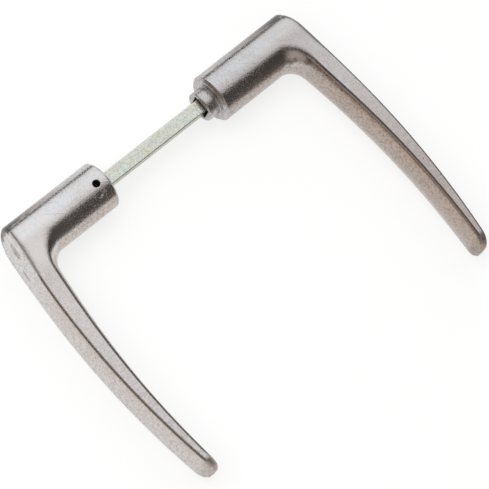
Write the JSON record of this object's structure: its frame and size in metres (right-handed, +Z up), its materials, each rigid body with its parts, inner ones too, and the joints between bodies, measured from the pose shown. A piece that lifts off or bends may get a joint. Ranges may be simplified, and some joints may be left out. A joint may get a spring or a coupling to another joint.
{
  "type": "lever handle set",
  "caption": "Pair of straight-grip cast aluminium lever handles on round necks, joined by a square spindle; one lever has a spigot, the other slides and is held by a set screw.",
  "frame": {"origin": "on the spindle's axis, midway between the ends of the two necks", "axes": "+X along the spindle from the fixed lever to the loose lever, +Y towards the grip tips, +Z up, on the set screw's side, with the set lying flat"},
  "size_m": [0.1694, 0.133, 0.022],
  "materials": {
    "cast_aluminium": "worn, rubbed casting with a dull polish",
    "zinc_plated_steel": "zinc plated with a pale yellow-green tint",
    "spring_steel": "dull grey",
    "black_steel": "blackened",
    "plain_steel": "bright drawn"
  },
  "bodies": {
    "fixed_side": {"fixed_lever": "cast_aluminium", "square_spindle": "zinc_plated_steel", "fixed_sleeve": "spring_steel", "fixing_pin": "plain_steel"},
    "loose_side": {"loose_lever": "cast_aluminium", "loose_sleeve": "spring_steel"},
    "clamp_screw": {"set_screw": "black_steel"}
  },
  "joints": [
    {"name": "lever_slide", "type": "slide", "parent": "fixed_side", "child": "loose_side", "axis": [1, 0, 0], "range_m": [-0.008, 0.012]},
    {"name": "screw_travel", "type": "slide", "parent": "loose_side", "child": "clamp_screw", "axis": [0, 0, 1], "range_m": [0, 0.003]}
  ]
}
